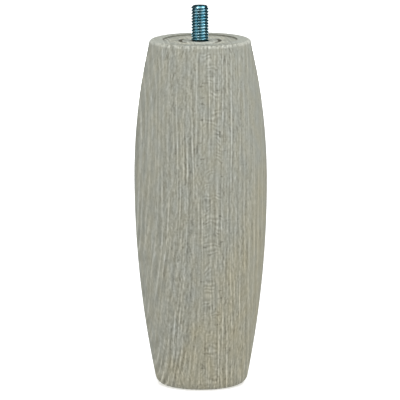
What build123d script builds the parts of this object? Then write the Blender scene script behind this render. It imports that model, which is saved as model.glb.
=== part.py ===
from build123d import *
import os

# Olive-shaped bed leg, in millimetres: a turned beech leg that screws to a bed frame by a steel hanger bolt.
# The floor is the XY plane and the leg's axis is +Z.

# Turned leg
belly_diameter = 72.4  # widest circle of the olive
belly_height = 113.5  # floor to the widest circle
shoulder_height = 76.5  # widest circle to the seating rim
top_diameter = 54.7  # where the upper curve meets the plane of the seating rim
foot_diameter = 48.6  # where the lower curve meets the floor
top_rounding = 2.1
foot_rounding = 5.5

# Turned top face: a flat seating rim around a shallow dish with one scored ring
rim_width = 7.1  # from the top circle to the dish
dish_depth = 0.7
ring_diameter = 21.5  # along the bottom of the V-shaped ring
ring_width = 2.1
ring_depth = 1.5

# Hanger bolt, 3/8 inch: machine thread above, plain neck, wood thread and point below
bolt_length = 63.5
stud_length = 18.5  # stands above the seating rim
stud_diameter = 9.4  # over the rolled machine thread's crests
stud_chamfer = 1.0
wood_thread_diameter = 9.1  # over the wood thread's crests
neck_length = 8.0
neck_relief = 0.4  # neck's step below the wood thread's crests
point_length = 10.0
point_diameter = 1.4  # blunt end of the point

# Pilot bore for the hanger bolt
bore_clearance = 0.05  # around the wood thread's crests
countersink_width = 0.6
countersink_angle = 90.0
drill_allowance = 2.0  # bore left free below the point

# Places that follow from the sizes above
leg_height = belly_height + shoulder_height
dish_floor = leg_height - dish_depth
stud_tip = leg_height + stud_length
bolt_point = stud_tip - bolt_length
neck_bottom = dish_floor - neck_length
belly_radius = belly_diameter / 2
ring_radius = ring_diameter / 2
bore_radius = wood_thread_diameter / 2 + bore_clearance
neck_radius = wood_thread_diameter / 2 - neck_relief

# Leg: two arcs that meet upright at the belly, turned about the axis
with BuildPart() as turned_leg:
    with BuildSketch(Plane.XZ) as leg_section:
        with BuildLine():
            Line((0, 0), (foot_diameter / 2, 0))
            TangentArc((belly_radius, belly_height), (foot_diameter / 2, 0), tangent=(0, -1))
            TangentArc((belly_radius, belly_height), (top_diameter / 2, leg_height), tangent=(0, 1))
            Line((top_diameter / 2, leg_height), (0, leg_height))
            Line((0, leg_height), (0, 0))
        make_face()
        fillet(leg_section.vertices().group_by(Axis.Y)[-1].sort_by(Axis.X)[-1], top_rounding)
        fillet(leg_section.vertices().group_by(Axis.Y)[0].sort_by(Axis.X)[-1], foot_rounding)
    revolve(axis=Axis.Z)

    # Shallow dish, so that only the rim bears on the bed frame
    with BuildSketch(Plane.XY.offset(leg_height)):
        Circle(top_diameter / 2 - rim_width)
    extrude(amount=-dish_depth, mode=Mode.SUBTRACT)

    # Scored ring in the dish
    with BuildSketch(Plane.XZ):
        with BuildLine():
            Polyline(
                (ring_radius - ring_width / 2, dish_floor),
                (ring_radius, dish_floor - ring_depth),
                (ring_radius + ring_width / 2, dish_floor),
                close=True,
            )
        make_face()
    revolve(axis=Axis.Z, mode=Mode.SUBTRACT)

    # Pilot bore with a countersunk mouth
    with Locations((0, 0, dish_floor)):
        CounterSinkHole(
            radius=bore_radius,
            counter_sink_radius=bore_radius + countersink_width,
            depth=dish_floor - bolt_point + drill_allowance,
            counter_sink_angle=countersink_angle,
        )
turned_leg.part.label = "turned_leg"

# Hanger bolt: the outside of both threads, turned about the same axis and driven in until the neck is sunk
with BuildPart() as hanger_bolt:
    with BuildSketch(Plane.XZ):
        with BuildLine():
            Polyline(
                (0, bolt_point),
                (point_diameter / 2, bolt_point),
                (wood_thread_diameter / 2, bolt_point + point_length),
                (wood_thread_diameter / 2, neck_bottom),
                (neck_radius, neck_bottom),
                (neck_radius, dish_floor),
                (stud_diameter / 2, dish_floor),
                (stud_diameter / 2, stud_tip),
                (0, stud_tip),
                close=True,
            )
        make_face()
    revolve(axis=Axis.Z)
    chamfer(hanger_bolt.faces().sort_by(Axis.Z)[-1].edges(), stud_chamfer)
hanger_bolt.part.label = "hanger_bolt"

os.makedirs("parts", exist_ok=True)
export_step(turned_leg.part, "parts/turned_leg.step")
export_step(hanger_bolt.part, "parts/hanger_bolt.step")
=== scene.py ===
import math

import bmesh
import bpy
from mathutils import Matrix, Vector


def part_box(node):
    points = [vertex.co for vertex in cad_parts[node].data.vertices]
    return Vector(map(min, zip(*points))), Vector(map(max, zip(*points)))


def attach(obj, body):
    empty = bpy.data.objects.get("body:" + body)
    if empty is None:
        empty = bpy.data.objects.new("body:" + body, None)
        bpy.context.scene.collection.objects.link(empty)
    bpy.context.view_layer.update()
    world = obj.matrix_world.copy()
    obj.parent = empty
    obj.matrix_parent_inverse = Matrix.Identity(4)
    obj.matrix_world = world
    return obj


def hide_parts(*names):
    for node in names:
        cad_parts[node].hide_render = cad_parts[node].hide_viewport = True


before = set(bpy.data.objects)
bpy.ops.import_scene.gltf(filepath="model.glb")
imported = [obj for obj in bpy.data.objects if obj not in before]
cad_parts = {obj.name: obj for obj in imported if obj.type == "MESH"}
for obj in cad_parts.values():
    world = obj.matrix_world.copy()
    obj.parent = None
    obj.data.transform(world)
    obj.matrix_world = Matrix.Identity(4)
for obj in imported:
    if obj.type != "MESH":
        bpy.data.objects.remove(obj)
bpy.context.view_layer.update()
legLow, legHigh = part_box("turned_leg")
boltLow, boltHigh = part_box("hanger_bolt")
legRadius = min(*legHigh.xy, *(-legLow.xy))  # the least of four, so that nothing leaves the CAD box
boltRadius = min(*boltHigh.xy, *(-boltLow.xy))
millimetre = 0.001
print("frame loaded, nodes:", ", ".join(sorted(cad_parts)))


# node helpers: a Wire is one output socket, Nodes fills one node tree, and a Paint is one material

class Wire:
    def __init__(self, nodes, socket):
        self.nodes = nodes
        self.socket = socket

    def math(self, operation, *values):
        return self.nodes.node("ShaderNodeMath", {"operation": operation}, dict(enumerate(values)))

    def __add__(self, other):
        return self.math("ADD", self, other)

    __radd__ = __add__

    def __sub__(self, other):
        return self.math("SUBTRACT", self, other)

    def __rsub__(self, other):
        return self.math("SUBTRACT", other, self)

    def __mul__(self, other):
        return self.math("MULTIPLY", self, other)

    __rmul__ = __mul__

    def __truediv__(self, other):
        return self.math("DIVIDE", self, other)

    def __rtruediv__(self, other):
        return self.math("DIVIDE", other, self)

    def __pow__(self, other):
        return self.math("POWER", self, other)

    def __rpow__(self, other):
        return self.math("POWER", other, self)

    def sine(self):
        return self.math("SINE", self)

    def ease(self, low, high):  # 0 below low, 1 above high, smooth between
        return self.nodes.node(
            "ShaderNodeMapRange", {"interpolation_type": "SMOOTHSTEP"},
            {"Value": self, "From Min": low, "From Max": high})

    def past(self, place, span):  # the same over a span that is measured from this place
        return self.ease(place + span[0], place + span[1])

    def band(self, place, rise, fall):  # 1 between two such spans, 0 outside them
        return self.past(place, rise) * (1 - self.past(place, fall))


class Nodes:
    def __init__(self, tree):
        self.tree = tree

    def node(self, kind, settings, inputs, output=0):
        made = self.tree.nodes.new(kind)
        for name, value in settings.items():
            setattr(made, name, value)
        for socket, value in inputs.items():
            self.plug(made.inputs[socket], value)
        return Wire(self, made.outputs[output])

    def plug(self, socket, value):
        if isinstance(value, Wire):
            self.tree.links.new(value.socket, socket)
        else:
            socket.default_value = value


class Paint(Nodes):
    def __init__(self, name, fixed):
        self.material = bpy.data.materials.new(name)
        self.material.use_nodes = True
        super().__init__(self.material.node_tree)
        self.shader = self.tree.nodes["Principled BSDF"]
        for socket, value in fixed.items():
            self.shade(socket, value)

    def shade(self, socket, value):
        self.plug(self.shader.inputs[socket], value)

    def place(self, unit, turn=0):  # Object coordinates in this unit, turned about the axis
        here = self.node("ShaderNodeTexCoord", {}, {}, "Object")
        scale = 1 / unit
        return self.node("ShaderNodeMapping", {}, {
            "Vector": here, "Rotation": (0, 0, math.radians(turn)), "Scale": (scale, scale, scale)})

    def split(self, vector):
        parts = self.node("ShaderNodeSeparateXYZ", {}, {"Vector": vector})
        return [Wire(self, output) for output in parts.socket.node.outputs]

    def join(self, x, y, z):
        return self.node("ShaderNodeCombineXYZ", {}, {"X": x, "Y": y, "Z": z})

    def stretch(self, vector, cell):  # one unit for each cell of these sides
        return self.node("ShaderNodeVectorMath", {"operation": "DIVIDE"}, {0: vector, 1: cell})

    def noise(self, vector, cell, detail=0.0):
        inCells = self.stretch(vector, cell)
        return self.node(
            "ShaderNodeTexNoise", {}, {"Vector": inCells, "Scale": 1.0, "Detail": detail}, "Fac")

    def ripple(self, vector, cell):  # noise about zero
        return self.noise(vector, cell) - 0.5

    def scatter(self, vector, cell):  # distance to the nearest of scattered points
        inCells = self.stretch(vector, cell)
        return self.node("ShaderNodeTexVoronoi", {}, {"Vector": inCells, "Scale": 1.0}, "Distance")

    def blend(self, factor, first, second, how="MIX"):  # 6, 7 and 2 are the node's colour sockets
        settings = {"data_type": "RGBA", "blend_type": how}
        return self.node("ShaderNodeMix", settings, {0: factor, 6: first, 7: second}, 2)

    def tint(self, first, second):
        return self.blend(1.0, first, second, "MULTIPLY")

    def bump(self, height, strength, distance):
        return self.node(
            "ShaderNodeBump", {}, {"Height": height, "Strength": strength, "Distance": distance}, "Normal")

    def done(self):
        print(self.material.name, "has", len(self.tree.nodes), "nodes")
        return self.material


# raw beech, as one solid block: the leg cuts through layers, rays and fibres wherever its surface runs
# radial runs from the tree's heart to its bark, which is about from left to right in the front view
# lengths are in the wood's own unit, and a cell is one patch of noise: along radial, across the rays and up

grainLook = {
    "heartDistance": 150,       # from the leg's axis to the tree's heart
    "drift": 2,                 # the grain runs straight up and wanders a little
    "driftCell": (30, 30, 80),
    "wobble": 0.4,
    "wobbleCell": (9, 9, 20),
    "lean": 0.115,              # low on the left it leans outwards
    "leanBelow": 60.2,          # on the axis, and higher towards the left
    "leanSlope": 1.6,
    "leanSoftness": 20,
    "leanFades": (-18, 4),
    "layerWidth": 2.2,          # from one pale line to the next
    "closer": 0.0124,           # how much closer the lines stand at the left
    "waver": 9,
    "waverCell": (5, 18, 65),
    "unsteady": 1.3,            # at the left, and less by one at the right
    "steadies": (-25, 15),
    "lineSharpness": 4,
    "lineMean": 0.27,           # a wave's mean at that sharpness, so that lines leave the wood no lighter
    "lineCell": (3, 14, 45),
    "linesShow": (0.33, 0.7),
    "fibreWidth": 0.9,
    "threadCell": (0.9, 5, 23),
    "fibreCell": (0.9, 1.2, 2.6),
}


def grainLines(paint, look, radial, tangent, along, shift):
    heart = look["heartDistance"]
    layer = ((radial + shift + heart) ** 2 + tangent ** 2) / (2 * heart)
    fibre = paint.join(layer, tangent, along)

    # thin pale lines that run on for most of the length, closer and less even at the left
    unsteady = look["unsteady"] - radial.ease(*look["steadies"])
    phase = paint.ripple(fibre, look["waverCell"]) * unsteady * look["waver"] - radial ** 2 * look["closer"]
    wave = (layer * (2 * math.pi / look["layerWidth"]) + phase).sine()
    shown = paint.noise(fibre, look["lineCell"]).ease(*look["linesShow"])
    lines = (((wave + 1) / 2) ** look["lineSharpness"] - look["lineMean"]) * shown

    # threads and fibres between them, each pale on one side and dark on the other
    half = look["fibreWidth"] / 2
    inner = paint.join(layer - half, tangent, along)
    outer = paint.join(layer + half, tangent, along)
    threads, fibres = [
        paint.noise(inner, cell) - paint.noise(outer, cell)
        for cell in (look["threadCell"], look["fibreCell"])]
    return fibre, lines, threads, fibres


def grainFigure(paint, look, grain, radial, tangent, along):
    drift = paint.ripple(grain, look["driftCell"]) * look["drift"]
    drift = drift + paint.ripple(grain, look["wobbleCell"]) * look["wobble"]
    below = look["leanBelow"] - along - radial * look["leanSlope"]
    ramp = ((below ** 2 + look["leanSoftness"] ** 2) ** 0.5 + below) / 2
    fibre, *straight = grainLines(paint, look, radial, tangent, along, drift)
    leaning = grainLines(paint, look, radial, tangent, along, drift + ramp * look["lean"])[1:]
    atLeft = 1 - radial.ease(*look["leanFades"])
    return fibre, *[one + (other - one) * atLeft for one, other in zip(straight, leaning)]


rayLook = {
    "small": 0.3,
    "smallCell": (14, 0.9, 2.4),
    "smallEdge": (0.16, 0.28),
    "beside": 0.35,             # small rays are stronger on both sides of the rungs
    "besideFrom": (6, 14),      # square of the distance from the middle
    "besideTo": (26, 42),
    "tall": 0.4,
    "tallCell": (13, 1.3, 13),
    "tallEdge": (0.13, 0.25),
    "rungsFade": (9, 34),       # square of the distance from the middle
    "rungSpacing": 2.4544,
    "rungArch": 0.06,
    "rungBend": 14,
    "bendCell": (4.5, 5, 4.5),
    "rungCell": (5, 5, 7),
    "rungsShow": (0.38, 0.62),
}


def rayMarks(paint, look, grain, fibre, radial, along):
    # thin upright sheets that run out from the heart, many small and a few tall
    fromMiddle = radial ** 2
    smallRays = 1 - paint.scatter(grain, look["smallCell"]).ease(*look["smallEdge"])
    tallRays = 1 - paint.scatter(fibre, look["tallCell"]).ease(*look["tallEdge"])
    beside = fromMiddle.band(0, look["besideFrom"], look["besideTo"])
    rays = smallRays * (look["small"] + beside * look["beside"]) + tallRays * look["tall"]

    # where they lie flat in the surface they show as arched rungs
    flat = 1 - fromMiddle.ease(*look["rungsFade"])
    arch = (along + fromMiddle * look["rungArch"]) * (2 * math.pi / look["rungSpacing"])
    rungs = (arch + paint.noise(grain, look["bendCell"]) * look["rungBend"]).sine()
    shown = paint.noise(grain, look["rungCell"]).ease(*look["rungsShow"])
    return rays, rungs * flat * shown, flat


topMarks = {  # spans in millimetres from the edge that each mark belongs to, and cells in the wood's unit
    "onTop": (-8, -5),
    "sideways": (0.35, 0.8),    # 0 at the front and back, 1 at the left and right
    "patchCell": (4, 4, 4),
    "patchDetail": 1.0,
    # the rim is paler grey with painted shade at front and back; edge, mouth and cream are painted
    # highlights, and wall and ring painted shade
    "rim": (-0.1, 0.3),
    "rimHeight": (-1.4, -0.7),
    "rimShaded": 0.45,
    "rimGreyPale": 0.1,
    "rimGreyPaleSideways": 0.5,
    "edge": (-1.6, -0.8),
    "edgeHeight": (-1.8, -1.0),
    "edgeBare": 0.2,
    "mouthFrom": (0, 0.4),
    "mouthTo": (0, 3),
    "mouthPatches": 2.6,
    "mouthBare": 0.8,
    "mouthSideways": 0.6,
    "creamFrom": (1.0, 1.8),
    "creamTo": (3, 7),
    "creamCell": (6, 6, 6),
    "creamShows": (0.42, 0.58),
    "cream": 0.5,
    "wallFrom": (-1.0, -0.1),
    "wallTo": (0, 0.3),
    "wall": 0.75,
    "ringFrom": (-1.1, -0.7),
    "ringTo": (0.7, 1.3),
    "ring": 0.85,
}


def topFace(paint, look, marks, size, grain, tone, wood):
    x, y, height = paint.split(paint.place(millimetre))
    fromAxis = (x ** 2 + y ** 2) ** 0.5
    seat = legHigh.z / millimetre
    edgeRadius = size["topRadius"] / millimetre
    dishRadius = edgeRadius - size["rimWidth"] / millimetre
    ringRadius = size["ringRadius"] / millimetre
    mouthRadius = (size["boreRadius"] + size["countersink"]) / millimetre

    # paler grey rim with painted shade at its front and back, painted highlights on the rounded edge, round
    # the stud's mouth and in patches outside the ring, and painted shade on the dish wall and in the ring
    # at two sides
    onTop = height.past(seat, marks["onTop"])
    sideways = (x ** 2 / fromAxis ** 2).ease(*marks["sideways"])
    patchy = paint.noise(grain, marks["patchCell"], marks["patchDetail"])
    rim = fromAxis.past(dishRadius, marks["rim"]) * height.past(seat, marks["rimHeight"])
    # a painted highlight along the rounded top edge
    edge = fromAxis.past(edgeRadius, marks["edge"]) * height.past(seat, marks["edgeHeight"])
    # a painted highlight round the stud's mouth, weaker at the left and right
    mouth = fromAxis.past(mouthRadius, marks["mouthFrom"])
    mouth = mouth * (1 - fromAxis.past(ringRadius, marks["mouthTo"])) * onTop
    mouth = mouth * (1 - sideways * marks["mouthSideways"])
    # patches of painted highlight just outside the ring
    cream = fromAxis.band(ringRadius, marks["creamFrom"], marks["creamTo"]) * onTop
    cream = cream * paint.noise(grain, marks["creamCell"], marks["patchDetail"]).ease(*marks["creamShows"])
    # painted shade on the dish wall
    wall = fromAxis.band(dishRadius, marks["wallFrom"], marks["wallTo"]) * onTop
    # painted shade in the scored ring, only at the left and right where one sees into the groove
    ring = fromAxis.band(ringRadius, marks["ringFrom"], marks["ringTo"]) * onTop * sideways

    # painted shade on the rim at its front and back, then the rim's paler grey, the painted highlights and
    # the painted shade
    wood = paint.blend(rim * (1 - sideways) * marks["rimShaded"], wood, paint.tint(wood, look["shaded"]))
    for share, colour in (
            (rim * patchy * (marks["rimGreyPale"] + sideways * marks["rimGreyPaleSideways"]), "greyPale"),
            (edge * (patchy + tone - marks["edgeBare"]), "pale"),
            (mouth * (patchy * marks["mouthPatches"] - marks["mouthBare"]), "pale"),
            (cream * marks["cream"], "cream"),
            (wall * marks["wall"], "dark"),
            (ring * marks["ring"], "grooveShade")):
        wood = paint.blend(share, wood, look[colour])
    return wood


beech = {
    "unit": 0.001055,           # metres
    "rayTurn": 10,              # degrees from the front to where the rays lie flat in the surface
    "shader": {
        "Specular IOR Level": 0.2,
        "Sheen Weight": 0.1,
        "Sheen Roughness": 0.4,
        "Sheen Tint": (0.85, 1.0, 1.0, 1),
    },
    # dark and pale also colour the top face's painted shade and painted highlights
    "dark": (0.200, 0.200, 0.162, 1),
    "body": (0.373, 0.378, 0.319, 1),
    "pale": (0.635, 0.645, 0.575, 1),
    # footTint is painted light, warmer and a little lighter towards the foot
    "footTint": (1.085, 1.065, 1.035, 1),
    "coolTint": (0.975, 0.995, 1.035, 1),
    "honeyTint": (1.06, 1.00, 0.88, 1),
    # the rim's paler grey, the painted shade on the rim, a painted highlight outside the ring, and painted
    # shade in the ring
    "greyPale": (0.475, 0.500, 0.455, 1),
    "shaded": (0.72, 0.72, 0.71, 1),
    "cream": (0.62, 0.60, 0.47, 1),
    "grooveShade": (0.110, 0.095, 0.062, 1),

    # how strongly each mark lightens or darkens the body colour
    "lines": 0.83,
    "threads": 0.75,
    "fibres": 0.75,
    "pores": 0.55,
    "poreCell": (0.7, 0.7, 1.0),
    "flecks": 0.5,
    "fleckCell": (7, 0.8, 1.25),
    "fleckPatch": (12, 12, 22),
    "flecksShow": (0.35, 0.6),
    "rungs": 0.3,

    # figured and plainer stretches, more figure below, and less at both sides, the right and the rungs
    "figure": 0.4,
    "figureCell": (5, 16, 50),
    "figureBelow": 0.45,
    "sides": (150, 800),        # square of the distance from the middle
    "sidesCalm": 0.44,
    "right": (0, 22),
    "rightCalm": 0.32,
    "rungsCalm": 0.2,

    # painted light makes it warmer and a little lighter towards the foot; it is honey coloured low on the
    # right, and a little mottled all over
    "footWarmth": 0.7,
    "honeyBelow": (43, 68),     # on the axis, and higher towards the right
    "honeySlope": 2,
    "honeyEdge": 30,
    "honeyCell": (14, 14, 30),
    "honey": 0.48,
    "warmth": 0.27,
    "mottle": 0.8,
    "mottleCell": (4, 4, 9),

    # gloss and relief
    "roughness": 0.62,
    "threadsRough": 0.2,
    "raysSmooth": 0.08,
    "fibresRise": 0.6,
    "raysSink": 0.6,
    "bump": 0.2,
    "bumpDistance": 0.0001,     # metres
}


def beechMaterial(look, size):
    paint = Paint("raw_beech", look["shader"])
    grain = paint.place(look["unit"], -look["rayTurn"])
    radial, tangent, along = paint.split(grain)
    towardsFoot = 1 - along / (legHigh.z / look["unit"])
    fibre, lines, threads, fibres = grainFigure(paint, grainLook, grain, radial, tangent, along)
    rays, rungs, flat = rayMarks(paint, rayLook, grain, fibre, radial, along)
    pores = paint.ripple(grain, look["poreCell"])
    flecks = paint.ripple(grain, look["fleckCell"])
    flecks = flecks * paint.noise(grain, look["fleckPatch"]).ease(*look["flecksShow"])

    figure = look["figure"] + paint.noise(fibre, look["figureCell"]) + towardsFoot * look["figureBelow"]
    calm = 1 - (radial ** 2).ease(*look["sides"]) * look["sidesCalm"]
    calm = calm * (1 - radial.ease(*look["right"]) * look["rightCalm"]) - flat * look["rungsCalm"]
    tone = (lines * look["lines"] + threads * look["threads"] + fibres * look["fibres"]) * figure
    tone = (tone + pores * look["pores"] + flecks * look["flecks"]) * calm + rungs * look["rungs"]
    wood = paint.blend(tone, look["body"], look["pale"])
    wood = paint.blend(rays - tone, wood, look["dark"])
    # painted light: warmer and a little lighter towards the foot
    wood = paint.blend(towardsFoot * look["footWarmth"], wood, paint.tint(wood, look["footTint"]))

    honey = along - radial * look["honeySlope"] + paint.ripple(grain, look["honeyCell"]) * look["honeyEdge"]
    hue = look["warmth"] + (1 - honey.ease(*look["honeyBelow"])) * look["honey"]
    hue = hue + paint.ripple(grain, look["mottleCell"]) * look["mottle"]
    wood = paint.tint(wood, paint.blend(hue, look["coolTint"], look["honeyTint"]))
    paint.shade("Base Color", topFace(paint, look, topMarks, size, grain, tone, wood))

    paint.shade("Roughness", look["roughness"] + threads * look["threadsRough"] - rays * look["raysSmooth"])
    relief = lines + threads + fibres * look["fibresRise"] - rays * look["raysSink"]
    paint.shade("Normal", paint.bump(relief, look["bump"], look["bumpDistance"]))
    return paint.done()


# bright zinc on steel, with its blue passivation, and lengths in millimetres

zinc = {
    "light": (0.49, 0.74, 0.82, 1),
    "deep": (0.20, 0.52, 0.66, 1),
    # the roots' colour is painted shade in the thread's hollows
    "root": (0.01, 0.12, 0.15, 1),
    # the colour of a painted shadow at the stud's base
    "baseShadow": (0.02, 0.04, 0.04, 1),
    "edgeTint": (0.35, 0.85, 1.0, 1),  # where it is seen edge on
    "cloudCell": (2.2, 2.2, 3.0),
    "cloudDetail": 2.0,
    "cloudEdge": (0.3, 0.7),
    "speckCell": (0.35, 0.35, 0.35),
    "speckDetail": 1.0,
    "crestBand": 0.2,           # below the crests, where the painted shade of the roots doesn't reach
    "rootShade": 0.75,
    "baseShadowFrom": (-1.1, -0.5),  # painted shadow about the dish, where the stud leaves the wood
    "baseShadowTo": (0.4, 1.2),
    "baseShadowing": 0.9,
    "roughness": 0.12,
    "specksRough": 0.12,
    "rootsRough": 0.1,
    "bump": 0.15,
    "bumpDistance": 0.00003,    # metres
}


def zincMaterial(look, thread):
    paint = Paint("blue_zinc", {"Metallic": 1.0, "Specular Tint": look["edgeTint"]})
    here = paint.place(millimetre)
    x, y, along = paint.split(here)
    radius = (x ** 2 + y ** 2) ** 0.5
    crest = thread["radius"] / millimetre
    cloud = paint.noise(here, look["cloudCell"], look["cloudDetail"])
    speck = paint.noise(here, look["speckCell"], look["speckDetail"])
    inRoot = 1 - radius.ease(crest - thread["depth"] / millimetre, crest - look["crestBand"])
    shadowedBase = along.band(dishFloor / millimetre, look["baseShadowFrom"], look["baseShadowTo"])
    plating = paint.blend(cloud.ease(*look["cloudEdge"]), look["deep"], look["light"])
    # painted shade in the thread roots
    plating = paint.blend(inRoot * look["rootShade"], plating, look["root"])
    # a painted shadow round the base, where the stud leaves the wood
    paint.shade("Base Color", paint.blend(shadowedBase * look["baseShadowing"], plating, look["baseShadow"]))
    paint.shade("Roughness", look["roughness"] + speck * look["specksRough"] + inRoot * look["rootsRough"])
    paint.shade("Normal", paint.bump(speck, look["bump"], look["bumpDistance"]))
    return paint.done()


# mesh helpers

weldDistance = 2e-6             # metres, and vertices nearer than this become one
cutDistance = 1e-7              # vertices this near a cut lie on it
rimDistance = 1e-5              # an open rim's vertices are this near its height
sharpAngle = 38                 # degrees between two faces, from where their edge shows


def drawLine(bm, vertex, x, z, steps=1):
    start = vertex.co.copy()
    end = Vector((x, 0, z))
    for step in range(1, steps + 1):
        vertex = bmesh.ops.extrude_vert_indiv(bm, verts=[vertex])["verts"][0]
        vertex.co = start.lerp(end, step / steps)
    return vertex


def drawArc(bm, vertex, x, z, turn, steps):  # about this centre, from +X towards +Z
    made = bmesh.ops.spin(
        bm, geom=[vertex], cent=(x, 0, z), axis=(0, -1, 0), dvec=(0, 0, 0),
        angle=turn, steps=steps, space=Matrix.Identity(4))
    return made["geom_last"][0]


def roundCorners(bm, corners, width, segments):
    bmesh.ops.bevel(
        bm, geom=corners, offset=width, offset_type="OFFSET", affect="VERTICES",
        segments=segments, profile=0.5, material=-1, clamp_overlap=True)


def weld(bm):
    bmesh.ops.remove_doubles(bm, verts=bm.verts, dist=weldDistance)


def addObject(name, data):
    added = bpy.data.objects.new(name, data)
    bpy.context.scene.collection.objects.link(added)
    return added


def finishPiece(bm, name, material, nodeName):
    bmesh.ops.recalc_face_normals(bm, faces=bm.faces)
    mesh = bpy.data.meshes.new(name)
    bm.to_mesh(mesh)
    bm.free()
    mesh.shade_smooth()
    mesh.set_sharp_from_angle(angle=math.radians(sharpAngle))
    mesh.materials.append(material)
    piece = addObject(name, mesh)
    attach(piece, "root")
    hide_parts(nodeName)
    print(name, "has", sum(len(face.vertices) - 2 for face in mesh.polygons), "triangles")


# turned leg: the outline is drawn once and spun round the axis

leg = {
    "bellyHeight": 0.1135,
    "topRadius": 0.02735,       # where the upper curve meets the seating plane
    "footRadius": 0.0243,       # where the lower curve meets the floor
    "topRounding": 0.0021,
    "footRounding": 0.0055,
    "rimWidth": 0.0071,
    "dishDepth": 0.0007,
    "ringRadius": 0.01075,
    "ringWidth": 0.0021,
    "ringDepth": 0.0015,
    "boreRadius": 0.0046,
    "boreBelowPoint": 0.0020,   # left free under the bolt
    "countersink": 0.0006,
    "softEdge": 0.00018,        # sanded edges of the turned details
    "softSteps": 3,
    "turns": 168,               # facets round the leg, and then along its outline
    "footSteps": 8,
    "footRoundingSteps": 10,
    "lowerSteps": 64,
    "upperSteps": 44,
    "topRoundingSteps": 8,
    "boreSteps": 12,
    "boreEndSteps": 2,
}
dishFloor = legHigh.z - leg["dishDepth"]


def flank(belly, bellyHeight, endRadius, endHeight, rounding):
    # one side's arc, upright at the belly: its centre, the rounding's centre across and its height
    # from the belly, and the angle at which the two touch
    drop = belly - endRadius
    reach = abs(endHeight - bellyHeight)
    radius = (drop ** 2 + reach ** 2) / (2 * drop)
    centre = belly - radius
    height = reach - rounding
    across = centre + math.sqrt((radius - rounding) ** 2 - height ** 2)
    angle = math.atan2(height, across - centre)
    return centre, across, height, angle


def makeLeg(size, material):
    top = legHigh.z
    middle = size["bellyHeight"]
    lowCentre, lowAcross, lowHeight, lowAngle = flank(
        legRadius, middle, size["footRadius"], 0, size["footRounding"])
    highCentre, highAcross, highHeight, highAngle = flank(
        legRadius, middle, size["topRadius"], top, size["topRounding"])
    quarter = math.pi / 2

    bm = bmesh.new()
    pen = bm.verts.new((0, 0, 0))
    pen = drawLine(bm, pen, lowAcross, 0, size["footSteps"])
    pen = drawArc(bm, pen, lowAcross, middle - lowHeight, quarter - lowAngle, size["footRoundingSteps"])
    pen = drawArc(bm, pen, lowCentre, middle, lowAngle, size["lowerSteps"])
    pen = drawArc(bm, pen, highCentre, middle, highAngle, size["upperSteps"])
    pen = drawArc(bm, pen, highAcross, middle + highHeight, quarter - highAngle, size["topRoundingSteps"])

    # rim, dish, scored ring, countersunk mouth and bore, with softened corners
    dishRadius = size["topRadius"] - size["rimWidth"]
    ringRadius = size["ringRadius"]
    ringHalf = size["ringWidth"] / 2
    boreRadius = size["boreRadius"]
    boreEnd = boltLow.z - size["boreBelowPoint"]
    corners = []
    for x, z, steps in (  # across, up, and facets on the way there
            (dishRadius, top, 4),
            (dishRadius, dishFloor, 2),
            (ringRadius + ringHalf, dishFloor, 8),
            (ringRadius, dishFloor - size["ringDepth"], 1),
            (ringRadius - ringHalf, dishFloor, 1),
            (boreRadius + size["countersink"], dishFloor, 3),
            (boreRadius, dishFloor - size["countersink"], 2)):
        pen = drawLine(bm, pen, x, z, steps)
        corners.append(pen)
    pen = drawLine(bm, pen, boreRadius, boreEnd, size["boreSteps"])
    drawLine(bm, pen, 0, boreEnd, size["boreEndSteps"])
    roundCorners(bm, corners, size["softEdge"], size["softSteps"])

    bmesh.ops.spin(
        bm, geom=bm.verts[:] + bm.edges[:], cent=(0, 0, 0), axis=(0, 0, 1), dvec=(0, 0, 0),
        angle=2 * math.pi, steps=size["turns"], use_merge=True, space=Matrix.Identity(4))
    weld(bm)
    finishPiece(bm, "turned_olive", material, "turned_leg")


# hanger bolt: both threads are swept up their screw lines and joined by the plain neck

bolt = {
    "machine": {
        "pitch": 0.0254 / 16,   # 16 to the inch
        "radius": boltRadius,
        "depth": 0.00072,
        "crest": 0.25,          # flat of the crest, as a share of the pitch
        "start": 198,           # degrees
    },
    "wood": {
        "pitch": 0.0032,
        "radius": 0.00455,
        "depth": 0.0013,
        "crest": 0.05,
        "start": 0,
    },
    "flankAngle": 30,           # degrees
    "crestRounding": 0.4,       # share of the crest's flat
    "crestSteps": 2,
    "tipChamfer": 0.0010,
    "tipSteps": 4,
    "runOut": 0.0010,           # below the dish, from the machine thread down to the neck
    "neckLength": 0.0080,       # from the dish down to the wood thread
    "neckRadius": 0.00415,
    "pointLength": 0.010,
    "pointRadius": 0.0007,
    "turns": 48,                # facets round the bolt
}


def cut(bm, height, side=0):  # makes an edge loop, and clears what lies above it (1) or below it (-1)
    bmesh.ops.bisect_plane(
        bm, geom=bm.verts[:] + bm.edges[:] + bm.faces[:], dist=cutDistance,
        plane_co=(0, 0, height), plane_no=(0, 0, side or 1), clear_outer=side != 0)


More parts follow.
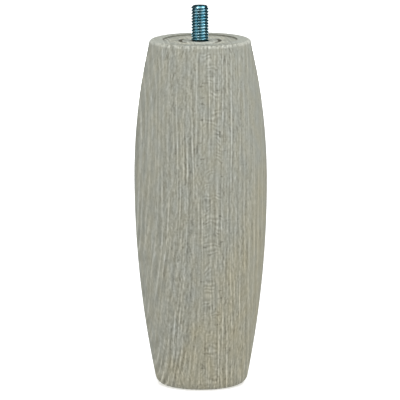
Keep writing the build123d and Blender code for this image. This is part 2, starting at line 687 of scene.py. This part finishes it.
def sweepThread(size, thread, low, high):
    # one rolled pitch of the outline, from root to root, carried up the screw line past both ends
    pitch = thread["pitch"]
    crest = thread["radius"]
    root = crest - thread["depth"]
    crestFlat = pitch * thread["crest"]
    slope = thread["depth"] * math.tan(math.radians(size["flankAngle"]))
    halfRoot = (pitch - crestFlat) / 2 - slope
    rounds = math.ceil((high - low) / pitch) + 2  # one more at each end

    bm = bmesh.new()
    pen = bm.verts.new((root, 0, low - pitch))
    corners = []
    for x, rise in ((root, halfRoot), (crest, slope), (crest, crestFlat), (root, slope)):
        pen = drawLine(bm, pen, x, pen.co.z + rise)
        corners.append(pen)
    drawLine(bm, pen, root, low)
    roundCorners(bm, corners, size["crestRounding"] * crestFlat, size["crestSteps"])
    bmesh.ops.spin(
        bm, geom=bm.verts[:] + bm.edges[:], cent=(0, 0, 0), axis=(0, 0, 1),
        dvec=(0, 0, pitch / size["turns"]), angle=2 * math.pi * rounds, steps=size["turns"] * rounds,
        space=Matrix.Identity(4))
    bmesh.ops.rotate(
        bm, verts=bm.verts, cent=(0, 0, 0), matrix=Matrix.Rotation(math.radians(thread["start"]), 3, "Z"))
    weld(bm)
    cut(bm, high, 1)
    cut(bm, low, -1)
    return bm


def rimAt(bm, height):
    return [edge for edge in bm.edges if edge.is_boundary
            and all(abs(vertex.co.z - height) < rimDistance for vertex in edge.verts)]


def setRadius(vertex, radius):
    vertex.co.xy *= radius / vertex.co.xy.length


def runOut(bm, height, radius, end):  # draws the open rim at this height out to a circle of the neck
    made = bmesh.ops.extrude_edge_only(bm, edges=rimAt(bm, height))["geom"]
    for vertex in made:
        if isinstance(vertex, bmesh.types.BMVert):
            setRadius(vertex, radius)
            vertex.co.z = end


def makeBolt(size, material):
    tip = boltHigh.z
    point = boltLow.z
    crest = size["machine"]["radius"]
    woodRadius = size["wood"]["radius"]
    neckRadius = size["neckRadius"]
    neckTop = dishFloor - size["runOut"]
    woodTop = dishFloor - size["neckLength"]
    neckFoot = woodTop + size["wood"]["depth"]

    # machine thread, chamfered at the tip
    machine = sweepThread(size, size["machine"], dishFloor, tip)
    for step in range(1, size["tipSteps"] + 1):
        cut(machine, tip - step / size["tipSteps"] * size["tipChamfer"])
    for vertex in machine.verts:
        limit = crest - size["tipChamfer"] + tip - vertex.co.z
        if vertex.co.xy.length > limit:
            setRadius(vertex, limit)
    weld(machine)
    bmesh.ops.holes_fill(machine, edges=rimAt(machine, tip), sides=0)
    runOut(machine, dishFloor, neckRadius, neckTop)
    machineEnd = bpy.data.meshes.new("machine_end")
    machine.to_mesh(machineEnd)
    machine.free()

    # wood thread, drawn in to the point
    bm = sweepThread(size, size["wood"], point, woodTop)
    for vertex in bm.verts:
        share = min(1, (vertex.co.z - point) / size["pointLength"])
        reach = size["pointRadius"] + share * (woodRadius - size["pointRadius"])
        setRadius(vertex, vertex.co.xy.length * reach / woodRadius)
    bmesh.ops.holes_fill(bm, edges=rimAt(bm, point), sides=0)
    runOut(bm, woodTop, neckRadius, neckFoot)

    bm.from_mesh(machineEnd)
    bpy.data.meshes.remove(machineEnd)
    bmesh.ops.bridge_loops(bm, edges=rimAt(bm, neckFoot) + rimAt(bm, neckTop))
    finishPiece(bm, "threaded_bolt", material, "hanger_bolt")


makeLeg(leg, beechMaterial(beech, leg))
makeBolt(bolt, zincMaterial(zinc, bolt["machine"]))


# pale floor, soft light and the camera

stage = {
    "floorSize": 30.0,
    "floorColour": (0.95, 0.95, 0.95, 1),
    "floorRoughness": 0.9,
    "floorGlow": 0.45,          # keeps the pale floor even to its far end
    "lamps": (  # name, degrees right of the camera, degrees up, distance, width, height, watts
        ("right_softbox", 58, 6, 1.3, 0.9, 0.9, 4.4),
        ("left_softbox", -60, 6, 1.3, 0.9, 0.9, 4.4),
        ("metal_softbox", 30, 8, 1.3, 0.36, 0.9, 2.3),
        ("high_right_softbox", 92, 63, 1.3, 0.32, 0.32, 2.4),
        ("high_left_softbox", -66, 73, 1.3, 0.28, 0.28, 1.9),
        ("rear_softbox", 180, 0, 1.3, 0.4, 0.14, 2.6),
    ),
    "shineOnly": ("metal_softbox",),  # shows in the stud's polish, and adds no light to matte wood
    "sun": 0.8,
    "sunSoftness": 60,          # degrees
    "sunTilt": (18, 8, 0),      # degrees
    "roomColour": (1, 1, 1, 1),
    "ambient": 0.615,           # the room lights evenly
    "reflected": 0.095,         # it shows dark in reflections, apart from the lamps
    "backdrop": 1.0,            # and white behind the floor
}


def direction(side, rise):  # degrees right of the camera and up
    around = math.radians(side)
    up = math.radians(rise)
    return Vector((math.sin(around) * math.cos(up), -math.cos(around) * math.cos(up), math.sin(up)))


def makeFloor(look):
    bm = bmesh.new()
    bmesh.ops.create_grid(bm, x_segments=1, y_segments=1, size=look["floorSize"])
    mesh = bpy.data.meshes.new("floor")
    bm.to_mesh(mesh)
    bm.free()
    paint = Paint("pale_floor", {
        "Base Color": look["floorColour"], "Roughness": look["floorRoughness"],
        "Emission Color": look["floorColour"], "Emission Strength": look["floorGlow"]})
    mesh.materials.append(paint.done())
    floor = addObject("floor", mesh)
    floor.visible_diffuse = False  # a backdrop only: it throws no light back on the leg
    floor.visible_glossy = False


def makeLights(look):
    for name, side, rise, distance, width, height, power in look["lamps"]:
        back = direction(side, rise)
        lamp = addObject(name, bpy.data.lights.new(name, "AREA"))
        lamp.data.energy = power
        lamp.data.shape = "RECTANGLE"
        lamp.data.size = width
        lamp.data.size_y = height
        lamp.location = Vector((0, 0, legHigh.z / 2)) + back * distance
        lamp.rotation_euler = (-back).to_track_quat("-Z", "Y").to_euler()
        lamp.visible_camera = False
        lamp.visible_diffuse = name not in look["shineOnly"]
    sun = addObject("sun", bpy.data.lights.new("sun", "SUN"))
    sun.data.energy = look["sun"]
    sun.data.angle = math.radians(look["sunSoftness"])
    sun.rotation_euler = [math.radians(tilt) for tilt in look["sunTilt"]]


def makeRoom(look):
    world = bpy.data.worlds.new("studio")
    world.use_nodes = True
    bpy.context.scene.world = world
    room = Nodes(world.node_tree)
    room.tree.nodes.remove(room.tree.nodes["Background"])
    ambient, reflected, backdrop = [
        room.node("ShaderNodeBackground", {}, {"Color": look["roomColour"], "Strength": look[strength]})
        for strength in ("ambient", "reflected", "backdrop")]
    inGloss = room.node("ShaderNodeLightPath", {}, {}, "Is Glossy Ray")
    inView = room.node("ShaderNodeLightPath", {}, {}, "Is Camera Ray")
    shown = room.node("ShaderNodeMixShader", {}, {0: inGloss, 1: ambient, 2: reflected})
    shown = room.node("ShaderNodeMixShader", {}, {0: inView, 1: shown, 2: backdrop})
    room.plug(room.tree.nodes["World Output"].inputs["Surface"], shown)


cameraView = {
    "sensor": 36,               # mm
    "lens": 504.7,              # mm
    "farthest": 100,
    "distance": 3.06,
    "elevation": 9.95,          # degrees above the leg's middle
    "aim": (-0.00042, 0, 0.10142),
    "roll": 0.27,               # degrees
}


def makeCamera(look):
    data = bpy.data.cameras.new("camera")
    data.sensor_width = look["sensor"]
    data.lens = look["lens"]
    data.clip_end = look["farthest"]
    camera = addObject("camera", data)
    camera.location = Vector((0, 0, legHigh.z / 2)) + look["distance"] * direction(0, look["elevation"])
    gaze = (Vector(look["aim"]) - camera.location).to_track_quat("-Z", "Y").to_matrix()
    camera.rotation_euler = (gaze @ Matrix.Rotation(math.radians(-look["roll"]), 3, "Z")).to_euler()
    bpy.context.scene.camera = camera


makeFloor(stage)
makeLights(stage)
makeRoom(stage)
makeCamera(cameraView)
bpy.context.scene.view_settings.view_transform = "Standard"
print("stage, lights and camera set")
